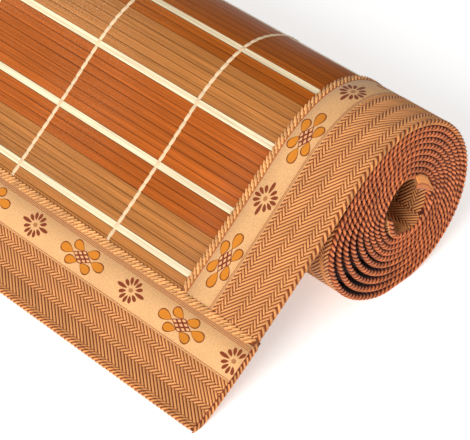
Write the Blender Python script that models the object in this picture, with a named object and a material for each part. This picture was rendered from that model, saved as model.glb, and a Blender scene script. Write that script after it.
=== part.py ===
"""A bamboo sleeping mat, rolled up from one end, with its free end sloping down to the floor.

The mat is a panel of thin bamboo slats, held by strings and edged on all four sides: a woven
binding folded over the edge, a printed ribbon along its inner side, and a braid over the
ribbon's inner edge. It is rolled round a hollow core with the slats parallel to the roll's
axis and the bamboo face outwards.

Metres, +Z up. X runs along the slats, Y from the free end towards the roll. The origin is on
the floor, under the middle of the part.
"""

import math

import bmesh
import bpy

MM = 0.001

# The flat mat
MAT_WIDTH = 900 * MM
MAT_THICKNESS = 2.9 * MM
SLAT_THICKNESS = 1.8 * MM
GAP = 0.3 * MM

# Widths across the border, from the mat's outer edge inwards
BINDING_WIDTH = 33.0 * MM
PANEL_INSET = 43.0 * MM
RIBBON_INNER = 52.3 * MM
BRAID_INNER = 57.0 * MM
END_FOLD_WIDTH = 1.6 * MM
STEP_LENGTH = 1.0 * MM

# Depths below the mat's upper face
RIBBON_TOP = 0.1 * MM
UNDER_RIBBON = MAT_THICKNESS - SLAT_THICKNESS
RIBBON_BOTTOM = UNDER_RIBBON - GAP

# The free end: flat on the floor, then a slope up to the roll
FLAT_LENGTH = 5 * MM
LOWER_HANDLE = 8 * MM
UPPER_HANDLE = 50 * MM
SLOPE_STEPS = 9

# The roll, wound from the top of the slope inwards, seen from the +X end
CORE_Y = 160 * MM
CORE_Z = 55 * MM
START_ANGLE = 142.5
ANGLE_STEP = 15.0
WOUND_STEPS = 237
SLACK_ANGLE = -152.0

# The outline of the roll round its core and the spacing of its turns, in mm
RADIUS, SPACING = 1, 2
WINDING = (
    # angle, radius, spacing
    (150, 55.2, 3.60),
    (120, 51.3, 3.40),
    (90, 51.9, 3.44),
    (60, 51.5, 3.48),
    (30, 51.9, 3.36),
    (0, 54.2, 3.36),
    (-30, 56.3, 3.43),
    (-60, 57.6, 3.48),
    (-90, 58.9, 3.50),
    (-120, 60.8, 3.36),
    (-150, 63.1, 3.66),
    (-180, 63.0, 3.92),
)

# How far the turns have sagged apart at the roll's lower front, in mm, added up from outside
SLACK = (
    # turn, slack
    (0.0, 0.0),
    (0.8, 2.3),
    (1.8, 4.2),
    (2.8, 6.2),
    (3.8, 8.0),
    (4.8, 9.9),
    (5.8, 10.8),
    (6.8, 10.9),
    (7.8, 11.0),
    (8.8, 11.2),
    (9.8, 12.8),
)

# The loose ribbon end that is folded out of the core over the turns' ends, at the +X end
TAB_THICKNESS = 1.2 * MM
TAB = (
    # angle, radius in mm
    (69, 18.6),
    (57, 19.9),
    (36, 20.2),
    (2, 22.0),
    (0, 19.5),
    (11, 14.9),
    (42, 10.5),
)

COLOURS = {
    # material: red, green, blue, roughness
    "bamboo": (0.46, 0.20, 0.07, 0.40),
    "binding_cloth": (0.62, 0.33, 0.14, 0.85),
    "ribbon": (0.80, 0.52, 0.28, 0.75),
    "braid": (0.72, 0.42, 0.18, 0.85),
}


def winding(field, angle):
    """Smooth value of one column of the winding table at any angle; the rows go right round."""
    count = len(WINDING)
    row = (WINDING[0][0] - angle) * count / 360.0
    first = math.floor(row)
    part = row - first
    before, left, right, after = (WINDING[(first + k) % count][field] for k in (-1, 0, 1, 2))
    slope_left = (right - before) / 2
    slope_right = (after - left) / 2
    square = part * part
    cube = square * part
    return (
        (2 * cube - 3 * square + 1) * left
        + (cube - 2 * square + part) * slope_left
        + (3 * square - 2 * cube) * right
        + (cube - square) * slope_right
    )


def slack_at(turns):
    """Slack after a number of turns, read along straight lines between the rows."""
    for (turn, slack), (next_turn, next_slack) in zip(SLACK, SLACK[1:]):
        if turns <= next_turn:
            return slack + (next_slack - slack) * (turns - turn) / (next_turn - turn)
    return SLACK[-1][1]


def polar(angle, radius):
    """The point (y, z) at an angle and a distance from the middle of the core."""
    y = CORE_Y + radius * math.cos(math.radians(angle))
    z = CORE_Z + radius * math.sin(math.radians(angle))
    return y, z


def wound_point(angle):
    """A point (y, z) of the mat's upper face in the roll; the angle falls as the mat winds inwards."""
    turns = (START_ANGLE - angle) / 360.0
    side = (1 + math.cos(math.radians(angle - SLACK_ANGLE))) / 2
    radius = winding(RADIUS, angle) - winding(SPACING, angle) * turns - slack_at(turns) * side**3
    y, z = polar(angle, radius * MM)
    return y, max(z, 0.0)


def slope_points():
    """The upper face from the flat front edge up to the roll: a cubic curve between two tangents."""
    foot = (FLAT_LENGTH, MAT_THICKNESS)
    top = wound_point(START_ANGLE)
    past = wound_point(START_ANGLE - 1)
    reach = math.dist(top, past)
    lower = (foot[0] + LOWER_HANDLE, foot[1])
    upper = tuple(t - UPPER_HANDLE * (p - t) / reach for t, p in zip(top, past))
    points = []
    for step in range(SLOPE_STEPS):
        part = step / SLOPE_STEPS
        rest = 1 - part
        weights = (rest**3, 3 * rest**2 * part, 3 * rest * part**2, part**3)
        corners = (foot, lower, upper, top)
        points.append(tuple(sum(w * c[axis] for w, c in zip(weights, corners)) for axis in (0, 1)))
    return points


def mat_path():
    """The upper face's side profile as stations: (distance, point, offset for each metre of depth)."""
    points = [(0.0, MAT_THICKNESS)]
    points += slope_points()
    points += [wound_point(START_ANGLE - ANGLE_STEP * step) for step in range(WOUND_STEPS + 1)]
    middle = (max(y for y, z in points) + min(y for y, z in points)) / 2
    points = [(y - middle, z) for y, z in points]
    inward = []
    for (y0, z0), (y1, z1) in zip(points, points[1:]):
        length = math.dist((y0, z0), (y1, z1))
        inward.append(((z1 - z0) / length, -(y1 - y0) / length))
    stations = []
    distance = 0.0
    for index, point in enumerate(points):
        before = inward[max(index - 1, 0)]
        after = inward[min(index, len(inward) - 1)]
        both = (before[0] + after[0], before[1] + after[1])
        stretch = 2 / (both[0] ** 2 + both[1] ** 2)
        if index:
            distance += math.dist(points[index - 1], point)
        stations.append((distance, point, (both[0] * stretch, both[1] * stretch)))
    return stations


PATH = mat_path()
MAT_LENGTH = PATH[-1][0]
HALF_WIDTH = MAT_WIDTH / 2


def place(distance, x, depth):
    """The point at a distance along the mat, x across it and a depth below its upper face."""
    for (start, low, low_offset), (end, high, high_offset) in zip(PATH, PATH[1:]):
        if distance <= end or end == MAT_LENGTH:
            break
    part = (distance - start) / (end - start)
    base = [a + (b - a) * part for a, b in zip(low, high)]
    offset = [a + (b - a) * part for a, b in zip(low_offset, high_offset)]
    return x, base[0] + offset[0] * depth, base[1] + offset[1] * depth


def material(name):
    """One plain material for each kind of stuff the mat is made of."""
    made = bpy.data.materials.get(name)
    if made is None:
        made = bpy.data.materials.new(name)
        made.use_nodes = True
        red, green, blue, roughness = COLOURS[name]
        shader = made.node_tree.nodes["Principled BSDF"]
        shader.inputs["Base Color"].default_value = (red, green, blue, 1)
        shader.inputs["Roughness"].default_value = roughness
        shader.inputs["Metallic"].default_value = 0.0
    return made


def add_object(name, mesh_data, material_name):
    """Turns a bmesh into a scene object with its faces pointing out."""
    bmesh.ops.recalc_face_normals(mesh_data, faces=mesh_data.faces)
    mesh = bpy.data.meshes.new(name)
    mesh_data.to_mesh(mesh)
    mesh_data.free()
    mesh.materials.append(material(material_name))
    made = bpy.data.objects.new(name, mesh)
    bpy.context.scene.collection.objects.link(made)
    return made


def skin(body, rings):
    """Joins rings of vertices with faces and closes the two ends."""
    for ring, following in zip(rings, rings[1:]):
        count = len(ring)
        for k in range(count):
            n = (k + 1) % count
            body.faces.new((ring[k], ring[n], following[n], following[k]))
    body.faces.new(rings[0])
    body.faces.new(rings[-1])


def sweep(name, start, end, section, material_name, extra=()):
    """A strip of the mat from one distance to another. section(distance) gives its (x, depth) corners."""
    inside = [distance for distance, point, offset in PATH if start + GAP < distance < end - GAP]
    stations = sorted([start, end, *inside, *extra])
    body = bmesh.new()
    rings = []
    for distance in stations:
        rings.append([body.verts.new(place(distance, x, depth)) for x, depth in section(distance)])
    skin(body, rings)
    return add_object(name, body, material_name)


def box_section(x_a, x_b, top, bottom):
    """A section that is the same rectangle all along."""
    corners = ((x_a, top), (x_b, top), (x_b, bottom), (x_a, bottom))
    return lambda distance: corners


def slat_panel():
    """The slats and their strings, as one sheet between the bindings."""
    edge = HALF_WIDTH - PANEL_INSET
    section = box_section(-edge, edge, UNDER_RIBBON, MAT_THICKNESS)
    return sweep("slat_panel", PANEL_INSET, MAT_LENGTH - PANEL_INSET, section, "bamboo")


def side_binding(side, label):
    """The woven cloth folded over one side edge, lower where the ribbons cross it."""
    low_start = BRAID_INNER + GAP
    low_end = MAT_LENGTH - low_start
    outer = side * HALF_WIDTH
    shoulder = side * (HALF_WIDTH - BINDING_WIDTH)
    inner = side * (HALF_WIDTH - PANEL_INSET + GAP)

    def section(distance):
        under_end_border = distance <= low_start or distance >= low_end
        top = UNDER_RIBBON if under_end_border else 0.0
        return (
            (outer, top),
            (shoulder, top),
            (shoulder + side * -GAP, UNDER_RIBBON),
            (inner, UNDER_RIBBON),
            (inner, MAT_THICKNESS),
            (outer, MAT_THICKNESS),
        )

    start = PANEL_INSET
    return sweep(
        f"side_binding_{label}",
        start,
        MAT_LENGTH - start,
        section,
        "binding_cloth",
        extra=(low_start, low_start + STEP_LENGTH, low_end - STEP_LENGTH, low_end),
    )


def end_strip(name, near, far, end, material_name):
    """A trim strip right across one end of the mat, between two distances from that end's edge."""
    start, stop = (near, far) if end == "front" else (MAT_LENGTH - far, MAT_LENGTH - near)
    section = box_section(-HALF_WIDTH, HALF_WIDTH, RIBBON_TOP, RIBBON_BOTTOM)
    return sweep(name, start, stop, section, material_name)


def end_binding(end):
    """The woven cloth folded over one end edge, lower where the ribbon lies on it."""
    inner = PANEL_INSET - GAP
    front = end == "front"
    step = BINDING_WIDTH if front else MAT_LENGTH - BINDING_WIDTH
    toward = GAP if front else -GAP

    def section(distance):
        covered = distance > step if front else distance < step
        top = UNDER_RIBBON if covered else 0.0
        return (
            (-HALF_WIDTH, top),
            (HALF_WIDTH, top),
            (HALF_WIDTH, MAT_THICKNESS),
            (-HALF_WIDTH, MAT_THICKNESS),
        )

    start, stop = (0.0, inner) if front else (MAT_LENGTH - inner, MAT_LENGTH)
    return sweep(f"{end}_binding", start, stop, section, "binding_cloth", extra=(step, step + toward))


def end_fold(end, side, label):
    """The end binding's own end, folded over beyond the mat's side edge."""
    near = side * (HALF_WIDTH + GAP)
    far = side * (HALF_WIDTH + END_FOLD_WIDTH)
    section = box_section(near, far, 0.0, MAT_THICKNESS)
    start, stop = (0.0, BRAID_INNER) if end == "front" else (MAT_LENGTH - BRAID_INNER, MAT_LENGTH)
    return sweep(f"{end}_fold_{label}", start, stop, section, "binding_cloth")


def side_trim(side, label):
    """The printed ribbon and the braid along one side, between the end borders."""
    start = BRAID_INNER + GAP
    stop = MAT_LENGTH - start
    ribbon_outer = side * (HALF_WIDTH - BINDING_WIDTH - 2 * GAP)
    ribbon_inner = side * (HALF_WIDTH - RIBBON_INNER)
    braid_outer = side * (HALF_WIDTH - RIBBON_INNER - GAP)
    braid_inner = side * (HALF_WIDTH - BRAID_INNER)
    ribbon = box_section(ribbon_outer, ribbon_inner, RIBBON_TOP, RIBBON_BOTTOM)
    braid = box_section(braid_outer, braid_inner, RIBBON_TOP, RIBBON_BOTTOM)
    return (
        sweep(f"side_ribbon_{label}", start, stop, ribbon, "ribbon"),
        sweep(f"side_braid_{label}", start, stop, braid, "braid"),
    )


def end_trim(end):
    """The printed ribbon and the braid across one end, right out to the side edges."""
    ribbon_near = BINDING_WIDTH + 2 * GAP
    braid_near = RIBBON_INNER + GAP
    return (
        end_strip(f"{end}_ribbon", ribbon_near, RIBBON_INNER, end, "ribbon"),
        end_strip(f"{end}_braid", braid_near, BRAID_INNER, end, "braid"),
    )


def core_tab():
    """A short loose end of ribbon, folded flat over the ends of the innermost turns."""
    middle_shift = PATH[0][1][0]
    body = bmesh.new()
    rings = []
    for x in (HALF_WIDTH + GAP, HALF_WIDTH + GAP + TAB_THICKNESS):
        ring = []
        for angle, radius in TAB:
            y, z = polar(angle, radius * MM)
            ring.append(body.verts.new((x, y + middle_shift, z)))
        rings.append(ring)
    skin(body, rings)
    return add_object("core_tab", body, "ribbon")


def build():
    """Clears the scene and makes every piece of the mat."""
    for old in list(bpy.data.objects):
        bpy.data.objects.remove(old)
    slat_panel()
    core_tab()
    sides = ((1, "right"), (-1, "left"))
    for side, label in sides:
        side_binding(side, label)
        side_trim(side, label)
    for end in ("front", "inner"):
        end_binding(end)
        end_trim(end)
        for side, label in sides:
            end_fold(end, side, label)


build()
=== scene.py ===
"""The looks of the rolled bamboo mat: slats and strings, woven binding, ribbon and braid.

Every piece but the loose ribbon end is first laid out on the flat mat and then put on the wound
path. On the flat mat a point has x across the mat, s, its distance from the front edge, and a
depth below the mat's upper face. Metres, +Z up.
"""

import math

import bpy
import numpy as np
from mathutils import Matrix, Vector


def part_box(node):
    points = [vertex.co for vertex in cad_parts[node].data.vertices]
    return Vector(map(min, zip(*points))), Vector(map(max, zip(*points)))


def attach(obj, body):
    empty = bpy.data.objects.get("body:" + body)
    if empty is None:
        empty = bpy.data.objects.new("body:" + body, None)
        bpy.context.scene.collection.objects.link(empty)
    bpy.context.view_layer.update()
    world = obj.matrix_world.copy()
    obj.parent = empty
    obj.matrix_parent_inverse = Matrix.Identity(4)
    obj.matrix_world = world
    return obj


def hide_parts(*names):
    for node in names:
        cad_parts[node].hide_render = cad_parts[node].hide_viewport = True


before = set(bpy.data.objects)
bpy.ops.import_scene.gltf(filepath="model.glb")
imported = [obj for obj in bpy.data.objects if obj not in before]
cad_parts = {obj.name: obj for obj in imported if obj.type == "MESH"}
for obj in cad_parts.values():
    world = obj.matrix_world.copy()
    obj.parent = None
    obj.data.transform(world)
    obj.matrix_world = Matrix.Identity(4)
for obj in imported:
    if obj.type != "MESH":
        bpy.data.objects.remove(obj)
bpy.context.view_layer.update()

MM = 0.001
random = np.random.default_rng(7)

SIDE_EDGES = ("right", "left")
END_EDGES = ("front", "inner")
EDGES = SIDE_EDGES + END_EDGES

# The flat mat, as in the part's own source
MAT_WIDTH = 900 * MM
HALF_WIDTH = MAT_WIDTH / 2
MAT_THICKNESS = 2.9 * MM
SLAT_DEPTH = 1.1 * MM
PANEL_INSET = 43.0 * MM

# The free end and the roll, as in the part's own source
FLAT_LENGTH = 5 * MM
LOWER_HANDLE = 8 * MM
UPPER_HANDLE = 50 * MM
CORE_Y = 160 * MM
CORE_Z = 55 * MM
START_ANGLE = 142.5
END_ANGLE = -3412.5
SLACK_ANGLE = -152.0

# The path's steps on the slope and round the roll, finer than the part's
SLOPE_STEPS = 60
ANGLE_STEP = 3.0

# The outline of the roll round its core and the spacing of its turns, in mm
RADIUS, SPACING = 1, 2
WINDING = (
    # angle, radius, spacing
    (150, 55.2, 3.60),
    (120, 51.3, 3.40),
    (90, 51.9, 3.44),
    (60, 51.5, 3.48),
    (30, 51.9, 3.36),
    (0, 54.2, 3.36),
    (-30, 56.3, 3.43),
    (-60, 57.6, 3.48),
    (-90, 58.9, 3.50),
    (-120, 60.8, 3.36),
    (-150, 63.1, 3.66),
    (-180, 63.0, 3.92),
)

# How far the turns have sagged apart at the roll's lower front, in mm, added up from outside
SLACK = (
    # turn, slack
    (0.0, 0.0),
    (0.8, 2.3),
    (1.8, 4.2),
    (2.8, 6.2),
    (3.8, 8.0),
    (4.8, 9.9),
    (5.8, 10.8),
    (6.8, 10.9),
    (7.8, 11.0),
    (8.8, 11.2),
    (9.8, 12.8),
)

# What of the mat can be seen: the upper face as far as the roll's outer turn goes, the underside
# as far as the slope goes, and a length at the inner end that is seen through the core
OUTER_TURN_END = 560 * MM
SLOPE_END = 250 * MM
CORE_START = 150 * MM

# The border, as distances from the mat's outer edge: where the cloth ends on the upper face of
# the sides and of the ends and on the underside, and where the braid ends
SIDE_CLOTH_INNER = 34.0 * MM
END_CLOTH_INNER = 31.5 * MM
UNDER_INNER = 42.8 * MM
BRAID_INNER = 57.0 * MM

# How many points a straight edge or a ribbon has from side to side
ACROSS_POINTS = 46

# A yarn: its width and height, the length of its tips and their part of the length at most, and
# the tips' height against its own
YARN_WIDTH = 1.22 * MM
YARN_HEIGHT = 0.42 * MM
YARN_TIP = 0.5 * MM
TIP_AT_MOST = 0.25
TIP_HEIGHT = 0.25

# How a yarn gets darker towards its ends, a painted shade where it dips between the roll's turns:
# the curve's exponent, and those of red, green and blue
DIM_CURVE = 1.1
DIM_COLOUR = (1.0, 1.35, 1.6)

# The herringbone: the distance of its yarns, of its points across the border, the part of that
# which the short leg takes, and how far a yarn runs along the border for each step across
YARN_PITCH = 2.75 * MM
CHEVRON = 11.3 * MM
SHORT_LEG = 3.2 * MM
LEG_SLOPE = 1.23

# Where the herringbone begins beside the fold, and one of its points on the upper face of the
# sides and of the ends, as a distance from the edge, and on the underside, as a way across
HERRINGBONE_START = 3.0 * MM
SIDE_POINT = 9 * MM
END_POINT = 4.5 * MM
UNDER_POINT = -20 * MM

# Legs and yarns that are smaller are left out. Yarns are laid from this far beyond a border's end
NARROWEST_LEG = 0.4 * MM
SHORTEST_YARN = 0.6 * MM
YARNS_BEYOND = 15 * MM

# The yarns round the folded edges, which look like a rope: their pitch and width on the sides and
# the inner corners, their width elsewhere, and their height, lean, colour spread and the strength of
# the painted shade on their sides
ROPE_PITCH = 3.6 * MM
ROPE_WIDTH = 1.85 * MM
END_ROPE_WIDTH = YARN_WIDTH * 1.15
ROPE_HEIGHT = YARN_HEIGHT * 1.5
ROPE_LEAN = 0.7
ROPE_SPREAD = 0.22
ROPE_SHARP = 2.2

# How far they reach on either side of the outermost line, and how far from a border's end they begin
ROPE_REACH = 3.4 * MM
FOLD_ROPE_REACH = 2.7 * MM
ROPE_MARGIN = 1 * MM

# In the roll, the colour of these yarns and of the cloth under them against the one on the slope,
# a painted shade that is darker and redder, and how dark the painted shade makes the yarns between
# turns
ROPE_IN_ROLL = (1.02, 0.73, 0.75)
GROUND_IN_ROLL = (0.50, 0.26, 0.26)
ROPE_DIM = 0.88

# That change to the painted shade: how far before the slope's end it begins, and its length
CHANGE_BEFORE = 30 * MM
CHANGE_LENGTH = 70 * MM

# Length of the innermost turn, whose underside can be seen, and its share of that painted shade
INNER_TURN = 115 * MM
INNER_SHARE = 0.3

# The end borders' folded ends: how far they stand out past the side edges, and how far their cloth
# reaches on either side of the outermost line
FOLD_OUTSET = 1.6 * MM
FOLD_REACH = 0.9 * MM

# The strip along such a fold, which at the front end is a painted shadow in the groove where the
# cloth folds over: its two edges, its depth, how far its long sides are turned down, and how far
# from the braid's edge it begins
FOLD_STRIP_NEAR = -0.1 * MM
FOLD_STRIP_FAR = 0.7 * MM
FOLD_STRIP_DEPTH = -0.02 * MM
FOLD_STRIP_DROP = 0.3 * MM
FOLD_STRIP_SHORT = 5 * MM

# The ribbons: the outer edge of the side and the end ones, the hidden inner edge, and the depth
SIDE_RIBBON_NEAR = 34.0 * MM
END_RIBBON_NEAR = 31.0 * MM
RIBBON_FAR = 53.5 * MM
RIBBON_DEPTH = 0.25 * MM
RIBBON_DROP = 0.75 * MM

# The thin lines along the ribbons: their two edges in mm, their height over the ribbon and drop
SIDE_RIBBON_LINES = ((34.6, 35.0), (35.4, 35.8), (52.3, 54.0))
END_RIBBON_LINES = ((30.9, 31.3), (31.9, 32.3), (50.0, 50.4), (50.9, 51.3), (51.8, 52.2))
LINE_LIFT = 0.08 * MM
LINE_DROP = 0.06 * MM

# The motifs: their pitch, the first one's distance from the corner, and their middle line
MOTIF_PITCH = 38.6 * MM
FRONT_FLOWER_AT = 5.3 * MM
FRONT_MOTIF_LINE = 41.6 * MM
SIDE_KNOT_AT = 82.3 * MM
SIDE_MOTIF_LINE = 43.9 * MM

# The slats: where a cream one lies, the pattern's repeat, and the brown slats in it
CREAM_AT = 66.0 * MM
SLAT_REPEAT = 40.0 * MM
CREAM_WIDTH = 4.05 * MM
BROWN_COUNT = 7

# A slat's part of the joint beside it, how much wider that may get, and its points across the mat
SLAT_GAP = 0.03 * MM
SLAT_UNEVEN = 0.06 * MM
SLAT_POINTS = 17

# The strings: the distances of the first and the last from the right and the left edge
STRING_FIRST = 114.6 * MM
STRING_LAST = 70.8 * MM
STRING_PITCH = 79.4 * MM
STRING_WIDTH = 2.4 * MM

# A string's stitch over one slat: its height, lean, and how unevenly it is placed
STITCH_HEIGHT = 0.55 * MM
STITCH_LEAN = 0.25 * MM
STITCH_SHIFT = 0.05 * MM
STITCH = (
    # height across it, height along it and width along it, as parts of the full ones
    (0.00, 0.10, 0.75),
    (0.55, 0.75, 0.95),
    (0.95, 1.00, 1.00),
    (0.95, 1.00, 1.00),
    (0.55, 0.75, 0.95),
    (0.00, 0.10, 0.75),
)


# The wound path


def winding(field, angle):
    """Smooth value of one column of the winding table at any angle; the rows go right round."""
    count = len(WINDING)
    row = (WINDING[0][0] - angle) * count / 360.0
    first = math.floor(row)
    part = row - first
    before, left, right, after = (WINDING[(first + k) % count][field] for k in (-1, 0, 1, 2))
    slope_left = (right - before) / 2
    slope_right = (after - left) / 2
    square = part * part
    cube = square * part
    return (
        (2 * cube - 3 * square + 1) * left
        + (cube - 2 * square + part) * slope_left
        + (3 * square - 2 * cube) * right
        + (cube - square) * slope_right
    )


def slack_at(turns):
    """Slack after a number of turns, read along straight lines between the rows."""
    turn, slack = zip(*SLACK)
    return float(np.interp(turns, turn, slack))


def polar(angle, radius):
    """The point (y, z) at an angle and a distance from the middle of the core."""
    y = CORE_Y + radius * math.cos(math.radians(angle))
    z = CORE_Z + radius * math.sin(math.radians(angle))
    return y, z


def wound_point(angle):
    """A point (y, z) of the mat's upper face in the roll; the angle falls as the mat winds inwards."""
    turns = (START_ANGLE - angle) / 360.0
    side = (1 + math.cos(math.radians(angle - SLACK_ANGLE))) / 2
    radius = winding(RADIUS, angle) - winding(SPACING, angle) * turns - slack_at(turns) * side**3
    y, z = polar(angle, radius * MM)
    return y, max(z, 0.0)


def slope_points():
    """The upper face from the flat front edge up to the roll: a cubic curve between two tangents."""
    foot = np.array((FLAT_LENGTH, MAT_THICKNESS))
    top = np.array(wound_point(START_ANGLE))
    past = np.array(wound_point(START_ANGLE - 1))
    lower = foot + (LOWER_HANDLE, 0)
    upper = top - UPPER_HANDLE * (past - top) / np.linalg.norm(past - top)
    part = np.arange(SLOPE_STEPS)[:, None] / SLOPE_STEPS
    rest = 1 - part
    return rest**3 * foot + 3 * rest**2 * part * lower + 3 * rest * part**2 * upper + part**3 * top


def mat_path():
    """The upper face's side profile: distances, points (y, z) and the unit inward normals there."""
    flat_steps = 4
    flat = np.array([(FLAT_LENGTH * k / flat_steps, MAT_THICKNESS) for k in range(flat_steps)])
    turn_steps = round((START_ANGLE - END_ANGLE) / ANGLE_STEP)
    wound = np.array([wound_point(START_ANGLE - ANGLE_STEP * k) for k in range(turn_steps + 1)])
    points = np.vstack([flat, slope_points(), wound])
    cad_low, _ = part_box("front_binding")
    points[:, 0] += cad_low[1]
    tangent = np.gradient(points, axis=0)
    tangent /= np.linalg.norm(tangent, axis=1)[:, None]
    inward = np.stack([tangent[:, 1], -tangent[:, 0]], axis=1)
    lengths = np.linalg.norm(np.diff(points, axis=0), axis=1)
    distance = np.concatenate([[0.0], np.cumsum(lengths)])
    return distance, points, inward


PATH_S, PATH_POINT, PATH_INWARD = mat_path()
MAT_LENGTH = PATH_S[-1]


def lay(x, s, depth):
    """World points for points of the flat mat, given as arrays that broadcast together."""
    x, s, depth = np.broadcast_arrays(x, s, depth)
    y, z = (
        np.interp(s, PATH_S, PATH_POINT[:, axis]) + np.interp(s, PATH_S, PATH_INWARD[:, axis]) * depth
        for axis in (0, 1)
    )
    return np.stack([x, y, np.maximum(z, 0.0)], axis=-1)


def stations(start, end):
    """The distances along the mat at which the path has points, from start to end with both."""
    closest = 0.2 * MM
    inside = PATH_S[(PATH_S > start + closest) & (PATH_S < end - closest)]
    return np.concatenate([[start], inside, [end]])


# Meshes made of grids of quads


class Grids:
    """Gathers grids of quads and makes one mesh object of them."""

    def __init__(self):
        self.world = []
        self.flat = []
        self.tint = []
        self.quads = []
        self.caps = []
        self.count = 0

    def add(self, x, s, depth, tint=(1.0, 1.0, 1.0), ring=False, hollow=False, world=None, capped=False):
        """Adds grids given on the flat mat; the last two axes of the arrays are rows and columns.

        A ring's last column joins its first. A ring's or a hollow grid's faces point away from the
        middle of each row, and any other grid's point away from the mat's inside. A capped grid's
        first and last row are closed by a face. world gives the points' own places, where they
        don't follow from those on the flat mat.
        """
        x, s, depth = np.broadcast_arrays(x, s, depth)
        rows, columns = x.shape[-2:]
        flat = np.stack([x, s, depth], axis=-1).reshape(-1, rows, columns, 3)
        grids = len(flat)
        points = lay(flat[..., 0], flat[..., 1], flat[..., 2]) if world is None else world
        points = points.reshape(grids, rows, columns, 3)
        colour = np.broadcast_to(np.asarray(tint, float), x.shape + (3,))
        index = self.count + np.arange(grids * rows * columns).reshape(grids, rows, columns)
        following = np.roll(index, -1, axis=2) if ring else index[:, :, 1:]
        current = index if ring else index[:, :, :-1]
        quads = np.stack(
            [current[:, :-1], following[:, :-1], following[:, 1:], current[:, 1:]], axis=-1
        )
        if ring or hollow:
            outward = points - points.mean(axis=2, keepdims=True)
        else:
            outward = points - lay(flat[..., 0], flat[..., 1], flat[..., 2] + 1 * MM)
        along = points[:, 1:, :-1] - points[:, :-1, :-1]
        across = points[:, :-1, 1:] - points[:, :-1, :-1]
        normal = np.cross(across, along)
        flipped = float((normal * outward[:, :-1, :-1]).sum()) < 0
        if flipped:
            quads = quads[..., ::-1]
        self.world.append(points.reshape(-1, 3))
        self.flat.append(flat.reshape(-1, 3))
        self.tint.append(colour.reshape(-1, 3))
        self.quads.append(quads.reshape(-1, 4))
        self.count += grids * rows * columns
        if capped:
            first, last = index[:, 0], index[:, -1]
            if flipped:
                last = last[:, ::-1]
            else:
                first = first[:, ::-1]
            self.caps += first.tolist() + last.tolist()

    def make(self, name, material, body="root"):
        """Makes the object, with its flat places as a UV map in metres and its tints as colours."""
        world = np.concatenate(self.world)
        flat = np.concatenate(self.flat)
        tint = np.concatenate(self.tint)
        quads = np.concatenate(self.quads)
        mesh = bpy.data.meshes.new(name)
        mesh.from_pydata(world, [], quads.tolist() + self.caps)
        mesh.update()
        corners = np.empty(len(mesh.loops), dtype=np.int32)
        mesh.loops.foreach_get("vertex_index", corners)
        mesh.uv_layers.new(name="flat").data.foreach_set("uv", flat[corners, :2].ravel())
        colours = mesh.color_attributes.new("tint", "FLOAT_COLOR", "POINT")
        colours.data.foreach_set("color", np.hstack([tint, np.ones((len(tint), 1))]).ravel())
        mesh.shade_smooth()
        mesh.materials.append(material)
        made = bpy.data.objects.new(name, mesh)
        bpy.context.scene.collection.objects.link(made)
        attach(made, body)
        return made


def edge_place(edge, inset, v):
    """Flat-mat x and s of a place at a distance from one of the mat's edges and at v along it."""
    if edge == "right":
        return HALF_WIDTH - inset, v
    if edge == "left":
        return -HALF_WIDTH + inset, v
    if edge == "front":
        return v, inset
    return v, MAT_LENGTH - inset


def strip(grids, edge, near, far, v, depth, drop):
    """A flat strip along an edge, between two distances from it, with its long sides turned down."""
    rim = 0.15 * MM
    inset = np.array([near, near + rim, (near + far) / 2, far - rim, far])[None, :]
    level = np.array([depth + drop, depth, depth, depth, depth + drop])[None, :]
    x, s = edge_place(edge, inset, v[:, None])
    grids.add(x, s, level)


# Borders: yarns and cloth that follow the folded binding


class Border:
    """One edge of the mat. A place there has a, the way across the binding's surface, and v along it.

    a is 0 at the outermost line, positive on the upper face and negative on the underside.
    """

    RADIUS = MAT_THICKNESS / 2
    QUARTER = math.pi / 2 * RADIUS

    def __init__(self, edge, outset=0.0):
        self.edge = edge
        self.outset = outset

    def flat(self, a, v, height):
        """Flat-mat coordinates of places at a height above the binding's ground."""
        radius = self.RADIUS - YARN_HEIGHT + height
        on_fold = np.abs(a) < self.QUARTER
        turn = np.clip(a / self.RADIUS, -math.pi / 2, math.pi / 2)
        beyond = np.maximum(np.abs(a) - self.QUARTER, 0)
        inset = self.RADIUS + beyond - np.where(on_fold, radius * np.cos(turn), 0) - self.outset
        depth = self.RADIUS - radius * np.sin(turn)
        x, s = edge_place(self.edge, inset, v)
        return x, s, depth

    def surface(self, inset):
        """The value of a on the upper face at a distance from the mat's edge."""
        return inset + self.QUARTER - self.RADIUS


# The sides of a yarn are darker and more orange than its top: painted shade where it curves down
YARN_ACROSS = (
    # offset in widths, height, red, green and blue against the top's
    (-0.50, 0.0, 0.68, 0.46, 0.32),
    (-0.36, 0.8, 0.92, 0.80, 0.66),
    (0.00, 1.0, 1.00, 1.00, 1.00),
    (0.36, 0.8, 0.92, 0.80, 0.66),
    (0.50, 0.0, 0.68, 0.46, 0.32),
)


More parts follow.
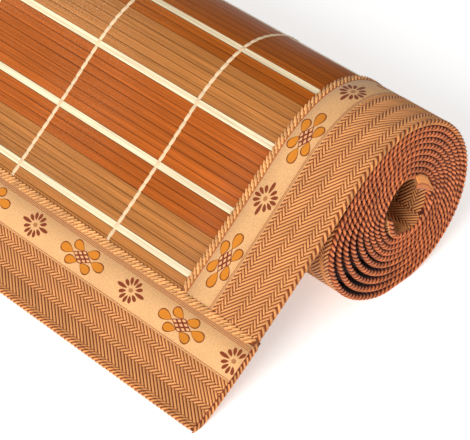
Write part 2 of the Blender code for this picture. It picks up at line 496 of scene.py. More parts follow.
def yarns(grids, border, start, end, width, height, tint, bends=1, narrow=0.6, dim=0.0, sharp=1.0):
    """Rounded yarns on a border's surface, each from its start (a, v) to its end, with short tips.

    narrow is the tips' width against the yarn's, dim is how much painted shade each yarn gets towards
    its two ends, and sharp makes the painted shade on its sides stronger.
    """
    length = np.linalg.norm(end - start, axis=1)[:, None]
    direction = (end - start) / length
    side = np.stack([-direction[:, 1], direction[:, 0]], axis=1)
    tip = np.minimum(YARN_TIP / length, TIP_AT_MOST)
    body = tip + (1 - 2 * tip) * np.linspace(0, 1, bends + 1)[None, :]
    part = np.concatenate([np.zeros_like(tip), body, np.ones_like(tip)], axis=1)
    line = start[:, None, :] + (end - start)[:, None, :] * part[..., None]
    full = np.ones(bends + 3)
    full[[0, -1]] = 0.0
    offset, level, *across = np.array(YARN_ACROSS).T
    shift = (offset * width)[None, None, :] * (narrow + (1 - narrow) * full)[None, :, None]
    a = line[:, :, None, 0] + side[:, None, None, 0] * shift
    v = line[:, :, None, 1] + side[:, None, None, 1] * shift
    raised = level[None, None, :] * (TIP_HEIGHT + (1 - TIP_HEIGHT) * full)[None, :, None] * height
    x, s, depth = border.flat(a, v, np.broadcast_to(raised, a.shape))
    # Painted shade on the yarn's sides, stronger for a larger sharp
    colour = tint[:, None, None, :] * np.stack(across, axis=-1)[None, None] ** sharp
    # Painted shade towards the yarn's ends, where dim is given
    end_shade = 1 - np.reshape(dim, (-1, 1)) * (1 - np.sin(math.pi * part)) ** DIM_CURVE
    colour = colour * (end_shade[:, :, None, None] ** np.array(DIM_COLOUR))
    grids.add(x, s, depth, tint=np.broadcast_to(colour, a.shape + (3,)), hollow=True)


def shades(count, spread=0.1):
    """One slightly lighter or darker tint for each of a number of yarns."""
    level = 1 + spread * random.uniform(-1, 1, (count, 1))
    return np.repeat(level, 3, axis=1)


def clipped(start, end, v_low, v_high):
    """The parts of the lines that lie between two values of v, without the very short ones."""
    change = end[:, 1] - start[:, 1]
    crossing = np.stack([(v_low - start[:, 1]) / change, (v_high - start[:, 1]) / change])
    first = np.clip(crossing.min(axis=0), 0, 1)[:, None]
    last = np.clip(crossing.max(axis=0), 0, 1)[:, None]
    kept = ((last - first)[:, 0] * np.linalg.norm(end - start, axis=1)) > SHORTEST_YARN
    span = end - start
    return (start + span * first)[kept], (start + span * last)[kept]


def herringbone(grids, border, a_low, a_high, v_low, v_high, apex, bends=1):
    """The yarns of a herringbone between two lines of a border. The points lie on apex and each repeat."""
    first = math.floor((a_low - apex) / CHEVRON) - 1
    last = math.ceil((a_high - apex) / CHEVRON) + 1
    long_leg = CHEVRON - SHORT_LEG
    for column in range(first, last + 1):
        point = apex + column * CHEVRON
        drift = LEG_SLOPE * (long_leg - SHORT_LEG) * column
        for outer, step in ((point + long_leg, 0.0), (point - SHORT_LEG, YARN_PITCH / 2)):
            low, high = np.clip((point, outer), a_low, a_high)
            if abs(high - low) < NARROWEST_LEG:
                continue
            v = np.arange(v_low - YARNS_BEYOND, v_high + YARNS_BEYOND, YARN_PITCH)
            v = v + (step - drift) % YARN_PITCH
            start = np.stack([np.full(len(v), low), v - LEG_SLOPE * abs(low - point)], axis=1)
            end = np.stack([np.full(len(v), high), v - LEG_SLOPE * abs(high - point)], axis=1)
            start, end = clipped(start, end, v_low, v_high)
            yarns(grids, border, start, end, YARN_WIDTH, YARN_HEIGHT, shades(len(start)), bends)


def wound_share(v):
    """0 on the slope and 1 where the mat is wound up, with a soft change between."""
    return np.clip((v - SLOPE_END + CHANGE_BEFORE) / CHANGE_LENGTH, 0, 1)[:, None]


def edge_rope(grids, border, v_low, v_high, reach=ROPE_REACH, wound=False):
    """The yarns that wrap round the fold, which make it look like a rope.

    Those of a wound border are wider and further apart, and in the roll they get painted shade,
    darker and redder, and darkest towards their ends between the roll's turns.
    """
    pitch, width = (ROPE_PITCH, ROPE_WIDTH) if wound else (YARN_PITCH, END_ROPE_WIDTH)
    v = np.arange(v_low + ROPE_MARGIN, v_high - ROPE_MARGIN, pitch)
    lean = LEG_SLOPE * reach * ROPE_LEAN
    start = np.stack([np.full(len(v), reach), v + lean], axis=1)
    end = np.stack([np.full(len(v), -reach), v - lean], axis=1)
    start, end = clipped(start, end, v_low, v_high)
    tint = shades(len(start), ROPE_SPREAD)
    dim = 0.0
    # Painted shade in the roll: darker, redder rope, darkest towards the ends between turns
    if wound:
        in_roll = wound_share(start[:, 1])
        tint = tint * (1 - in_roll + in_roll * np.array(ROPE_IN_ROLL))
        share = np.where(start[:, 1] > MAT_LENGTH - INNER_TURN, INNER_SHARE, 1.0)
        dim = ROPE_DIM * in_roll[:, 0] * share
    yarns(grids, border, start, end, width, ROPE_HEIGHT, tint, bends=4, dim=dim, sharp=ROPE_SHARP)


def ground_cloth(border, v_stations, top_inner, under_inner):
    """The binding's own cloth, from the upper face round the fold to the underside."""
    along_side = border.edge in SIDE_EDGES
    quarter = border.QUARTER
    fold = np.linspace(quarter, -quarter, 9)
    steps = 1 if along_side else 12
    top = np.linspace(border.surface(top_inner), quarter, steps, endpoint=False)
    under = np.linspace(-border.surface(under_inner), -quarter, steps, endpoint=False)[::-1]
    a = np.concatenate([top, fold, under])
    x, s, depth = border.flat(a[None, :], v_stations[:, None], 0.0)
    # Painted shade on the cloth in the roll, where it shows dark between the turns
    in_roll = wound_share(v_stations) if along_side else np.zeros((len(v_stations), 1))
    colour = 1 - in_roll + in_roll * np.array(GROUND_IN_ROLL)
    tint = np.broadcast_to(colour[:, None, :], np.broadcast(x, s).shape + (3,))
    grids = Grids()
    grids.add(x, s, depth, tint=tint, hollow=True)
    return grids


# Materials


def linear(*rgb):
    """Linear colour from red, green and blue of 0 to 255."""
    values = np.array(rgb) / 255
    return tuple(np.where(values <= 0.04045, values / 12.92, ((values + 0.055) / 1.055) ** 2.4)) + (1.0,)


class Shader:
    """A material's node tree, with short calls for the nodes used here."""

    def __init__(self, name, roughness, specular, sheen=0.0):
        self.material = bpy.data.materials.new(name)
        self.material.use_nodes = True
        self.tree = self.material.node_tree
        self.principled = self.tree.nodes["Principled BSDF"]
        self.principled.inputs["Roughness"].default_value = roughness
        self.principled.inputs["Specular IOR Level"].default_value = specular
        self.principled.inputs["Sheen Weight"].default_value = sheen

    def node(self, kind, **inputs):
        """A new node with values or links for its named inputs."""
        made = self.tree.nodes.new(kind)
        for key, value in inputs.items():
            self.put(value, made.inputs[key])
        return made

    def put(self, value, socket):
        """Links an output to an input, or sets the input's value."""
        if isinstance(value, bpy.types.NodeSocket):
            self.tree.links.new(value, socket)
        else:
            socket.default_value = value

    def math(self, operation, first, second):
        made = self.tree.nodes.new("ShaderNodeMath")
        made.operation = operation
        self.put(first, made.inputs[0])
        self.put(second, made.inputs[1])
        return made.outputs[0]

    def mix(self, factor, first, second, blend="MIX"):
        made = self.tree.nodes.new("ShaderNodeMix")
        made.data_type = "RGBA"
        made.blend_type = blend
        self.put(factor, made.inputs["Factor"])
        self.put(first, made.inputs[6])
        self.put(second, made.inputs[7])
        return made.outputs[2]

    def flat_place(self, scale_x, scale_s):
        """The flat-mat place from the UV map, scaled for a texture."""
        uv = self.tree.nodes.new("ShaderNodeUVMap")
        uv.uv_map = "flat"
        scaled = self.tree.nodes.new("ShaderNodeVectorMath")
        scaled.operation = "MULTIPLY"
        self.put(uv.outputs[0], scaled.inputs[0])
        scaled.inputs[1].default_value = (scale_x, scale_s, 1.0)
        return scaled.outputs[0]

    def flat_x(self):
        """The flat-mat x from the UV map."""
        made = self.tree.nodes.new("ShaderNodeSeparateXYZ")
        self.put(self.flat_place(1, 1), made.inputs[0])
        return made.outputs["X"]

    def noise(self, place, detail, roughness=0.55):
        made = self.node("ShaderNodeTexNoise", Vector=place, Scale=1.0, Detail=detail, Roughness=roughness)
        return made.outputs["Fac"]

    def spread(self, value, low, high, to_low, to_high):
        """A value from the range low to high, taken over to the range to_low to to_high."""
        made = self.tree.nodes.new("ShaderNodeMapRange")
        for socket, item in zip(made.inputs, (value, low, high, to_low, to_high)):
            self.put(item, socket)
        return made.outputs[0]

    def tint(self):
        """The piece's own tints."""
        made = self.tree.nodes.new("ShaderNodeVertexColor")
        made.layer_name = "tint"
        return made.outputs["Color"]

    def grey(self, value):
        made = self.node("ShaderNodeCombineColor", Red=value, Green=value, Blue=value)
        return made.outputs[0]

    def bump(self, height, distance, strength):
        made = self.node("ShaderNodeBump", Height=height, Distance=distance, Strength=strength)
        self.put(made.outputs[0], self.principled.inputs["Normal"])

    def finish(self, colour, roughness=None):
        """Puts the colour, and a roughness if given, on the shader and returns the material."""
        self.put(colour, self.principled.inputs["Base Color"])
        if roughness is not None:
            self.put(roughness, self.principled.inputs["Roughness"])
        return self.material


def bamboo():
    """Slat bamboo: its own tint with fine fibres along it, and pale flecks of painted sheen away from the
    right.
    """
    shader = Shader("bamboo", roughness=0.45, specular=0.12)
    fibre = shader.noise(shader.flat_place(26, 2400), detail=4.0, roughness=0.7)
    streak = shader.noise(shader.flat_place(7, 620), detail=3.0)
    speckle = shader.noise(shader.flat_place(700, 2100), detail=2.0)
    patch = shader.noise(shader.flat_place(6, 14), detail=1.0)
    far_part = shader.spread(shader.flat_x(), 0.32, 0.10, 0.0, 1.0)
    level = shader.math(
        "MULTIPLY",
        shader.spread(fibre, 0.3, 0.7, 0.66, 1.30),
        shader.spread(streak, 0.3, 0.7, 0.78, 1.22),
    )
    colour = shader.mix(1.0, shader.tint(), shader.grey(level), "MULTIPLY")
    # Painted sheen: pale flecks in patches away from the right, as light glancing off the grain
    amount = shader.math("MULTIPLY", shader.spread(patch, 0.38, 0.62, 0.10, 0.75), far_part)
    painted_sheen = shader.math("MULTIPLY", shader.spread(speckle, 0.50, 0.66, 0.0, 1.0), amount)
    colour = shader.mix(painted_sheen, colour, linear(244, 214, 180))
    shader.bump(shader.math("ADD", fibre, speckle), 0.10 * MM, 0.5)
    return shader.finish(colour, shader.spread(fibre, 0.3, 0.7, 0.36, 0.56))


def cloth(name, colour, grain=0.12, scale=1500):
    """Matt yarn or cloth: one colour times the piece's tints, with a fine uneven grain."""
    shader = Shader(name, roughness=0.85, specular=0.25, sheen=0.15)
    fine = shader.noise(shader.flat_place(scale, scale), detail=3.0)
    broad = shader.noise(shader.flat_place(45, 45), detail=2.0)
    level = shader.math(
        "MULTIPLY",
        shader.spread(fine, 0.3, 0.7, 1 - grain, 1 + grain),
        shader.spread(broad, 0.3, 0.7, 0.94, 1.06),
    )
    shaded = shader.mix(1.0, shader.tint(), shader.grey(level), "MULTIPLY")
    shaded = shader.mix(1.0, shaded, colour, "MULTIPLY")
    shader.bump(fine, 0.08 * MM, 0.6)
    return shader.finish(shaded)


BAMBOO = bamboo()
STRING = cloth("string", linear(228, 198, 158), scale=2500)
YARN = cloth("binding_yarn", linear(220, 157, 99), scale=2500)
GROUND = cloth("binding_ground", linear(118, 58, 24), scale=1200)
RIBBON = cloth("ribbon", linear(218, 166, 112), grain=0.16, scale=1100)
LINE = cloth("ribbon_line", linear(165, 95, 50))
MOTIF = cloth("motif", linear(255, 255, 255), scale=2600)
BRAID = cloth("braid", linear(224, 166, 106), scale=2200)
BRAID_GROUND = cloth("braid_ground", linear(152, 90, 46))
# A painted shadow: the dark groove where the front binding's cloth folds over the side edges
FOLD_SHADOW = cloth("fold_strip", linear(125, 45, 22))


# The slats and their strings

TONES = {
    # name: red, green, blue
    "cream": (236, 216, 178),
    "tan": (176, 112, 56),
    "red": (172, 86, 26),
    "dark": (164, 84, 20),
}

# Tones of the brown slats that show most, by their distance from the front edge in mm
TONE_BANDS = (
    # up to, tone
    (90, "tan"),
    (146, "red"),
    (172, "tan"),
    (226, "dark"),
)

SLAT_SECTION = (
    # part of the width, part of the thickness, brightness
    (0.00, 0.03, 0.30),
    (0.01, 0.01, 0.50),
    (0.05, 0.00, 1.00),
    (0.50, 0.00, 1.00),
    (0.95, 0.00, 1.00),
    (0.99, 0.01, 0.50),
    (1.00, 0.03, 0.30),
    (1.05, 0.96, 0.20),
    (0.00, 1.00, 0.20),
)


def slat_edges():
    """(start, end, is_cream) for every slat, in metres along the mat."""
    brown_width = (SLAT_REPEAT - CREAM_WIDTH) / BROWN_COUNT
    low, high = PANEL_INSET, MAT_LENGTH - PANEL_INSET
    found = []
    for repeat in range(-1, math.ceil(MAT_LENGTH / SLAT_REPEAT)):
        start = CREAM_AT + repeat * SLAT_REPEAT - CREAM_WIDTH / 2
        found.append((start, start + CREAM_WIDTH, True))
        for k in range(BROWN_COUNT):
            left = start + CREAM_WIDTH + k * brown_width
            found.append((left, left + brown_width, False))
    return [slat for slat in found if slat[0] > low and slat[1] < high]


def slat_tint(middle, is_cream):
    """The colour of a slat by its place: a named tone, a little lighter or darker for each."""
    if is_cream:
        tone = "cream"
        spread = 0.03
    else:
        tone = next((name for limit, name in TONE_BANDS if middle < limit * MM), None)
        if tone is None:
            tone = random.choice(["red", "tan", "dark", "red"])
        spread = 0.10
    colour = np.array(linear(*TONES[tone])[:3])
    return colour * (1 + spread * random.uniform(-1, 1))


def slats():
    """Every slat as a bar straight across its width; those that show have uneven edges."""
    shown, hidden = Grids(), Grids()
    reach = HALF_WIDTH - PANEL_INSET
    across, down, bright = np.array(SLAT_SECTION).T
    across, down = across[None, :, None], down[None, :, None]
    for start, end, is_cream in slat_edges():
        in_sight = end < OUTER_TURN_END
        count = SLAT_POINTS if in_sight else 2
        x = np.linspace(-reach, reach, count)[:, None]
        gap = SLAT_GAP + SLAT_UNEVEN * random.random((2, count)) * in_sight
        low = (start + gap[0])[:, None]
        high = (end - gap[1])[:, None]
        low_top, low_bottom = lay(x, low, SLAT_DEPTH), lay(x, low, MAT_THICKNESS)
        high_top, high_bottom = lay(x, high, SLAT_DEPTH), lay(x, high, MAT_THICKNESS)
        top = low_top * (1 - across) + high_top * across
        bottom = low_bottom * (1 - across) + high_bottom * across
        world = top * (1 - down) + bottom * down
        s = low + (high - low) * across[..., 0]
        depth = SLAT_DEPTH + (MAT_THICKNESS - SLAT_DEPTH) * down[..., 0]
        grids = shown if in_sight else hidden
        tint = slat_tint((start + end) / 2, is_cream) * bright[None, :, None]
        grids.add(x, s, depth, tint=tint, ring=True, world=world, capped=True)
    return shown.make("slats_outer", BAMBOO), hidden.make("slats_wound", BAMBOO)


def strings():
    """The strings, as one rounded stitch over each slat, on either face as far as it can be seen."""
    grids = Grids()
    height_across, bow, width = np.array(STITCH).T
    swell = height_across * STITCH_HEIGHT
    across = np.linspace(-0.5, 0.5, len(STITCH)) * STRING_WIDTH
    along = np.linspace(0, 1, len(STITCH))
    places = np.arange(-HALF_WIDTH + STRING_LAST, HALF_WIDTH - STRING_FIRST + MM, STRING_PITCH)
    for start, end, _ in slat_edges():
        faces = []
        if end < OUTER_TURN_END:
            faces.append((SLAT_DEPTH, -1))
        if end < SLOPE_END or start > MAT_LENGTH - CORE_START:
            faces.append((MAT_THICKNESS, 1))
        for ground, sign in faces:
            s = (start + (end - start) * along)[:, None]
            lean = STITCH_LEAN * (along - 0.5)[:, None]
            for place in places:
                shift = random.normal(0, STITCH_SHIFT)
                x = place + lean + across[None, :] * width[:, None] + shift
                depth = ground + sign * bow[:, None] * swell[None, :]
                grids.add(x, s, depth, tint=shades(1, 0.06)[0])
    return grids.make("strings", STRING)


# The border pieces


def side_bindings():
    """The two long bindings: ground cloth, herringbone and rope-like fold."""
    made = {}
    start, end = PANEL_INSET, MAT_LENGTH - PANEL_INSET
    under_runs = ((start, SLOPE_END), (MAT_LENGTH - CORE_START, end))
    for edge in SIDE_EDGES:
        border = Border(edge)
        ground = ground_cloth(border, stations(start, end), SIDE_CLOTH_INNER, UNDER_INNER)
        yarn = Grids()
        top, under = border.surface(SIDE_CLOTH_INNER), -border.surface(UNDER_INNER)
        point = border.surface(SIDE_POINT)
        herringbone(yarn, border, HERRINGBONE_START, top, BRAID_INNER, OUTER_TURN_END, point, bends=2)
        for low, high in under_runs:
            herringbone(yarn, border, under, -HERRINGBONE_START, low, high, UNDER_POINT, bends=2)
        edge_rope(yarn, border, BRAID_INNER, end, wound=True)
        made[edge] = (
            ground.make(f"binding_cloth_{edge}", GROUND),
            yarn.make(f"binding_yarns_{edge}", YARN),
        )
    return made


def end_bindings():
    """The bindings of the front and inner ends, with their yarns."""
    made = {}
    low, high = -HALF_WIDTH, HALF_WIDTH
    across = np.linspace(low, high, ACROSS_POINTS)
    for edge in END_EDGES:
        border = Border(edge)
        ground = ground_cloth(border, across, END_CLOTH_INNER, UNDER_INNER)
        yarn = Grids()
        top, under = border.surface(END_CLOTH_INNER), -border.surface(UNDER_INNER)
        herringbone(yarn, border, HERRINGBONE_START, top, low, high, border.surface(END_POINT))
        herringbone(yarn, border, under, -HERRINGBONE_START, low, high, UNDER_POINT)
        edge_rope(yarn, border, low, high)
        made[edge] = (
            ground.make(f"binding_cloth_{edge}", GROUND),
            yarn.make(f"binding_yarns_{edge}", YARN),
        )
    return made


def corner_folds():
    """Where the end borders' cloth is folded over at the side edges: a ribbed lip and a strip beside it, a
    painted shadow at the front.
    """
    made = {}
    inner_start = MAT_LENGTH - BRAID_INNER
    runs = {
        # end: run of the fold, run of the strip beside it
        "front": ((0.0, BRAID_INNER), (0.0, BRAID_INNER - FOLD_STRIP_SHORT)),
        "inner": ((inner_start, MAT_LENGTH), (inner_start + FOLD_STRIP_SHORT, MAT_LENGTH)),
    }
    for end, (fold_run, strip_run) in runs.items():
        for side in SIDE_EDGES:
            border = Border(side, outset=FOLD_OUTSET)
            lip = ground_cloth(border, stations(*fold_run), FOLD_REACH, FOLD_REACH)
            ribs, fold_strip = Grids(), Grids()
            edge_rope(ribs, border, *fold_run, reach=FOLD_ROPE_REACH, wound=end == "inner")
            strip(fold_strip, side, FOLD_STRIP_NEAR, FOLD_STRIP_FAR, stations(*strip_run), FOLD_STRIP_DEPTH, FOLD_STRIP_DROP)
            made[end, side] = (
                lip.make(f"border_end_{end}_{side}", GROUND),
                ribs.make(f"border_end_ribs_{end}_{side}", YARN),
                # At the front the strip is a painted shadow; at the inner end it takes the yarn's colour
                fold_strip.make(f"border_end_seam_{end}_{side}", FOLD_SHADOW if end == "front" else YARN),
            )
    return made


def ribbon_near(edge):
    """The distance of a ribbon's outer edge from the mat's edge."""
    return SIDE_RIBBON_NEAR if edge in SIDE_EDGES else END_RIBBON_NEAR


def ribbons():
    """The four ribbons with the thin lines along their edges."""
    made = {}
    across = np.linspace(-HALF_WIDTH, HALF_WIDTH, ACROSS_POINTS)
    along = stations(BRAID_INNER, MAT_LENGTH - BRAID_INNER)
    for edge in EDGES:
        v, marks = (along, SIDE_RIBBON_LINES) if edge in SIDE_EDGES else (across, END_RIBBON_LINES)
        base, lines = Grids(), Grids()
        strip(base, edge, ribbon_near(edge), RIBBON_FAR, v, RIBBON_DEPTH, RIBBON_DROP)
        for low, high in marks:
            strip(lines, edge, low * MM, high * MM, v, RIBBON_DEPTH - LINE_LIFT, LINE_DROP)
        made[edge] = (base.make(f"ribbon_{edge}", RIBBON), lines.make(f"ribbon_lines_{edge}", LINE))
    return made


MOTIF_COLOURS = {
    # name: red, green, blue
    "petal": (128, 54, 20),
    "petal_eye": (172, 112, 66),
    "loop_edge": (126, 62, 12),
    "loop": (206, 124, 28),
    "lattice_line": (122, 46, 20),
    "lattice": (226, 166, 112),
}

# The shapes of a looped knot, along and across the ribbon in mm. A drop is pointed at its first end.
KNOT_DROPS = (
    # from, to, width
    ((7.4, 0.2), (16.0, 0.2), 4.7),
    ((-7.4, -0.2), (-16.0, -0.2), 4.7),
    ((1.6, 3.6), (9.0, 5.4), 4.4),
    ((-1.6, 3.6), (-9.0, 5.4), 4.4),
    ((1.6, -3.6), (9.0, -5.4), 4.4),
    ((-1.6, -3.6), (-9.0, -5.4), 4.4),
)

# How much longer at each end and wider than a loop its dark edge is, in mm
LOOP_EDGE_LONGER = 0.6
LOOP_EDGE_WIDER = 1.3

# The lattice between the loops: its reach along and across the ribbon, and its lines likewise, in mm
LATTICE_REACH = (7.2, 4.1)
LATTICE_LINE = (0.95, 0.56)

# A flower's petals and eye, in mm: two long petals along the ribbon, ten short ones between
PETAL_COUNT = 12
PETAL_INNER = 2.9
PETAL_WIDTH = 2.1
LONG_PETAL = 10.0
SHORT_PETAL = 7.4
EYE_REACH = 1.5
EYE_WIDTH = 2.4


class Motif:
    """Thin woven shapes on a ribbon, round a middle. u goes along the ribbon and w across it, in mm."""

    LIFTS = {"under": 0.05 * MM, "over": 0.10 * MM, "top": 0.15 * MM}
    CROWN = 0.03 * MM
    THINNEST = 0.02

    def __init__(self, grids, edge, middle):
        self.grids = grids
        self.edge = edge
        self.middle = middle

    def flat(self, u, w):
        """Flat-mat x and s of points of the motif."""
        u, w = u * MM, w * MM
        if self.edge in SIDE_EDGES:
            side = 1 if self.edge == "right" else -1
            return side * (HALF_WIDTH - SIDE_MOTIF_LINE - w), self.middle + u
        line = FRONT_MOTIF_LINE if self.edge == "front" else MAT_LENGTH - FRONT_MOTIF_LINE
        return np.clip(self.middle + u, -HALF_WIDTH, HALF_WIDTH), line + w

    def shape(self, start, end, width, colour, lift, pointed=1.0, straight=False):
        """One shape along a line: an oval, a drop that is pointed at its start, or a diamond."""
        start, end = np.array(start, float), np.array(end, float)
        run = np.linalg.norm(end - start)
        along = (end - start) / run
        side = np.array([-along[1], along[0]])
        if straight:
            part = np.array([0.0, 0.5, 1.0])
            half = np.array([0.0, 1.0, 0.0])
        else:
            turn = np.linspace(0, math.pi, 11)
            part = (1 - np.cos(turn)) / 2
            half = np.sin(turn) * part ** (pointed / 2)
        half = np.maximum(half / half.max() * width / 2, self.THINNEST)
        across = np.array([-1.0, 0.0, 1.0])
        u = start[0] + along[0] * run * part[:, None] + side[0] * half[:, None] * across
        w = start[1] + along[1] * run * part[:, None] + side[1] * half[:, None] * across
        x, s = self.flat(u, w)
        depth = RIBBON_DEPTH - self.LIFTS[lift] - self.CROWN * (1 - np.abs(across))[None, :]
        self.grids.add(x, s, depth, tint=linear(*MOTIF_COLOURS[colour])[:3])

    def knot(self):
        """A looped knot: six drop-shaped loops round a lattice of pale cells."""
        for start, end, width in KNOT_DROPS:
            grow = LOOP_EDGE_LONGER * (np.array(end) - start) / math.dist(start, end)
            self.shape(start - grow, end + grow, width + LOOP_EDGE_WIDER, "loop_edge", "under")
            self.shape(start, end, width, "loop", "over", pointed=0.7)
        reach, half = LATTICE_REACH
        self.shape((-reach, 0), (reach, 0), 2 * half, "lattice_line", "over", straight=True)
        cell_u, cell_w = reach / 3, half / 3
        long, wide = cell_u - LATTICE_LINE[0], cell_w - LATTICE_LINE[1]
        for i in (-1, 0, 1):
            for j in (-1, 0, 1):
                u, w = (i + j) * cell_u, (i - j) * cell_w
                self.shape((u - long, w), (u + long, w), 2 * wide, "lattice", "top", straight=True)

    def flower(self):
        """A flower of narrow petals, longer along the ribbon, round a small eye."""
        at_corner = self.edge in END_EDGES
        for k in range(PETAL_COUNT):
            turn = 2 * math.pi * k / PETAL_COUNT
            ray = np.array([math.cos(turn), math.sin(turn)])
            reach = LONG_PETAL if k % (PETAL_COUNT // 2) == 0 else SHORT_PETAL
            inner, outer = ray * PETAL_INNER, ray * reach
            past_edge = at_corner and abs(self.middle) + outer[0] * MM > HALF_WIDTH
            if not past_edge:
                self.shape(inner, outer, PETAL_WIDTH, "petal", "over", pointed=0.7)
        self.shape((-EYE_REACH, 0), (EYE_REACH, 0), EYE_WIDTH, "petal_eye", "over", pointed=0.0)


def motifs():
    """Flowers and looped knots in turn along each ribbon; those with an odd number are flowers."""
    made = {}
    for edge in EDGES:
        grids = Grids()
        if edge in SIDE_EDGES:
            places = np.arange(SIDE_KNOT_AT, OUTER_TURN_END, MOTIF_PITCH)
            first_number = 0
        else:
            places = np.arange(HALF_WIDTH - FRONT_FLOWER_AT, -HALF_WIDTH, -MOTIF_PITCH)
            first_number = 1
        for number, place in enumerate(places, start=first_number):
            motif = Motif(grids, edge, place)
            if number % 2:
                motif.flower()
            else:
                motif.knot()
        made[edge] = grids.make(f"ribbon_motifs_{edge}", MOTIF)
    return made


# The braid's two rows of strands, in mm from the mat's edge, and their lean along the braid
BRAID_ROWS = (
    # near, far, lean, shift in pitches
    (52.9, 55.4, 2.0, 0.0),
    (54.6, 57.1, 2.0, 0.5),
)
BRAID_PITCH = 2.9 * MM
STRAND_WIDTH = 1.35 * MM
STRAND_HEIGHT = 0.95 * MM
STRAND_SPREAD = 0.25
STRAND_NARROW = 0.35

# The strip under the strands: its outer edge, its depth and drop, and where the strands begin on it
BRAID_NEAR = 52.6 * MM
BRAID_DEPTH = 0.7 * MM
BRAID_DROP = 0.5 * MM
BRAID_MARGIN = 2 * MM


def braids():
    """The braids over the ribbons' inner edges: two rows of short leaning strands."""
    made = {}
    for edge in EDGES:
        border = Border(edge)
        if edge in SIDE_EDGES:
            low, high = BRAID_INNER, MAT_LENGTH - BRAID_INNER
            v_base = stations(low, high)
            seen_end = OUTER_TURN_END
        else:
            low, high = -HALF_WIDTH, HALF_WIDTH
            v_base = np.linspace(low, high, ACROSS_POINTS)
            seen_end = high
        base, strands = Grids(), Grids()
        strip(base, edge, BRAID_NEAR, BRAID_INNER, v_base, BRAID_DEPTH, BRAID_DROP)
        v = np.arange(low + BRAID_MARGIN, high - BRAID_MARGIN, BRAID_PITCH)
        v = v[v < seen_end]
        for near, far, lean, shift in BRAID_ROWS:
            place = v + shift * BRAID_PITCH
            start = np.stack([np.full(len(v), border.surface(near * MM)), place - lean * MM], axis=1)
            end = np.stack([np.full(len(v), border.surface(far * MM)), place + lean * MM], axis=1)
            start, end = clipped(start, end, low, high)
            tint = shades(len(start), STRAND_SPREAD)
            size = (STRAND_WIDTH, STRAND_HEIGHT)
            yarns(strands, border, start, end, *size, tint, bends=2, narrow=STRAND_NARROW)
        made[edge] = (
            base.make(f"braid_base_{edge}", BRAID_GROUND),
            strands.make(f"braid_strands_{edge}", BRAID),
        )
    return made


# The outer and the inner edge of the loose ribbon end over the innermost turns, in mm round the core
TAB_OUTER = (
    # angle, radius
    (69, 18.8),
    (57, 20.0),
    (36, 20.4),
    (2, 22.2),
)
TAB_INNER = (
    # angle, radius
    (42, 10.5),
    (30, 11.8),
    (11, 14.9),
    (0, 19.5),
)
# Brightness is painted light and shade: highlight on the upper facet, shade in the crease and below
TAB_RISE = (
    # part of the way from the outer edge to the inner one, height in mm over the roll's end, brightness
    (0.00, 0.5, 1.10),
    (0.10, 1.1, 1.25),
    (0.38, 2.4, 1.20),
    (0.50, 1.9, 0.52),
    (0.62, 2.3, 0.95),
    (0.85, 1.0, 0.55),
    (1.00, -2.0, 0.25),
)
TAB_POINTS = 16
TAB_THICKNESS = 0.6 * MM

# Its colour against the other ribbons', and the exponents by which the painted light and shade change the
# colour, so that the shade is redder
TAB_TINT = (1.00, 0.58, 0.26)
TAB_DIM_COLOUR = (0.8, 1.4, 2.0)


def core_tab():
    """A loose ribbon end, folded out of the core and creased across its middle, with painted light and
    shade.
    """
    rows = np.array(TAB_RISE)
    edges = []
    for outline in (TAB_OUTER, TAB_INNER):
        points = np.array([polar(angle, radius * MM) for angle, radius in outline])
        corner = np.arange(len(points))
        fine = np.linspace(0, len(points) - 1, TAB_POINTS)
        edges.append(np.stack([np.interp(fine, corner, points[:, axis]) for axis in (0, 1)], axis=1))
    outer, inner = edges
    place = rows[:, None, None, 0]
    plane = outer[None] * (1 - place) + inner[None] * place
    plane[..., 0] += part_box("front_binding")[0][1]
    x = HALF_WIDTH + rows[:, None, 1] * MM + np.zeros(plane.shape[:2])
    world = np.concatenate([x[..., None], plane], axis=-1)
    back = world - np.array([TAB_THICKNESS, 0, 0])
    # Painted light and shade on the tab's facets, redder where darker
    colour = rows[:, None, 2, None] ** np.array(TAB_DIM_COLOUR) * TAB_TINT
    shade = np.broadcast_to(colour, world.shape)
    grids = Grids()
    loop = np.concatenate([world, back[:, ::-1]], axis=1)
    tint = np.concatenate([shade, shade[:, ::-1]], axis=1)
    grids.add(loop[..., 1], loop[..., 2], loop[..., 0], tint=tint, ring=True, world=loop, capped=True)
    return grids.make("loose_ribbon_end", RIBBON)


# The pieces, and the parts of the model that they replace


def node_name(kind, edge):
    """The name of the frame's node of one kind on one edge."""
    return f"side_{kind}_{edge}" if edge in SIDE_EDGES else f"{edge}_{kind}"


slats_outer, slats_wound = slats()
string_piece = strings()
bindings = side_bindings()
bindings.update(end_bindings())
folds = corner_folds()
ribbon_pieces = ribbons()
motif_pieces = motifs()
braid_pieces = braids()
tab = core_tab()

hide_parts("slat_panel")
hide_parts("core_tab")
for edge in EDGES:
    along_side = edge in SIDE_EDGES
    cloth_piece, yarn_piece = bindings[edge]
    sewn = [yarn_piece]
    for side in () if along_side else SIDE_EDGES:
        sewn += folds[edge, side]
        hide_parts(f"{edge}_fold_{side}")
    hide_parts(node_name("binding", edge))
for edge in EDGES:
    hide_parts(node_name("ribbon", edge))
    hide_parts(node_name("braid", edge))


# The floor, the light and the camera

FLOOR_REACH = 8
FLOOR_COLOUR = (0.95, 0.95, 0.95, 1.0)
FLOOR_GLOW = 0.45
WORLD_COLOUR = (1.0, 0.99, 0.97, 1.0)
WORLD_STRENGTH = 0.42

LIGHTS = (
    # name, place, size, power in watts
    ("key", (1.1, -2.4, 1.4), 1.2, 72),
    ("fill", (-1.4, -2.0, 2.0), 2.0, 8),
)

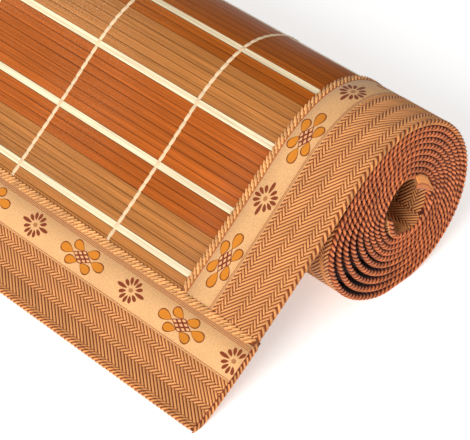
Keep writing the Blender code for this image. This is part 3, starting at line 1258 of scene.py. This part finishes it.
# The camera that was fitted to the photograph: focal length and width in pixels, place and angles
FOCAL_LENGTH = 2037.3
PHOTO_WIDTH = 470
SENSOR_WIDTH = 36.0
CAMERA_PLACE = (0.9767, -0.6054, 0.7427)
LOOKS_DOWN = 39.715
LOOKS_ASIDE = 44.793


def ground_and_world():
    """A pale floor that glows a little, and an even pale light from all round."""
    shader = Shader("floor", roughness=0.9, specular=0.1)
    shader.principled.inputs["Emission Color"].default_value = (1.0, 1.0, 1.0, 1.0)
    shader.principled.inputs["Emission Strength"].default_value = FLOOR_GLOW
    mesh = bpy.data.meshes.new("floor")
    corners = [(x * FLOOR_REACH, y * FLOOR_REACH, 0) for x, y in ((-1, -1), (1, -1), (1, 1), (-1, 1))]
    mesh.from_pydata(corners, [], [(0, 1, 2, 3)])
    mesh.materials.append(shader.finish(FLOOR_COLOUR))
    floor = bpy.data.objects.new("floor", mesh)
    bpy.context.scene.collection.objects.link(floor)

    world = bpy.data.worlds.new("studio")
    world.use_nodes = True
    background = world.node_tree.nodes["Background"]
    background.inputs["Color"].default_value = WORLD_COLOUR
    background.inputs["Strength"].default_value = WORLD_STRENGTH
    bpy.context.scene.world = world


def lamps():
    """The square lamps, each turned to the origin."""
    for name, place, size, power in LIGHTS:
        light = bpy.data.lights.new(name, "AREA")
        light.size = size
        light.energy = power
        lamp = bpy.data.objects.new(name, light)
        lamp.location = place
        aim = -np.array(place)
        lamp.rotation_euler = (
            math.acos(-aim[2] / np.linalg.norm(aim)),
            0.0,
            math.atan2(aim[1], aim[0]) - math.pi / 2,
        )
        bpy.context.scene.collection.objects.link(lamp)


def photo_camera():
    """The camera at the photograph's angle."""
    data = bpy.data.cameras.new("camera")
    data.sensor_width = SENSOR_WIDTH
    data.lens = FOCAL_LENGTH / PHOTO_WIDTH * SENSOR_WIDTH
    data.clip_start = 0.05
    camera = bpy.data.objects.new("camera", data)
    camera.location = CAMERA_PLACE
    camera.rotation_euler = (math.radians(90 - LOOKS_DOWN), 0.0, math.radians(LOOKS_ASIDE))
    bpy.context.scene.collection.objects.link(camera)
    bpy.context.scene.camera = camera
    bpy.context.scene.view_settings.view_transform = "Standard"


ground_and_world()
lamps()
photo_camera()
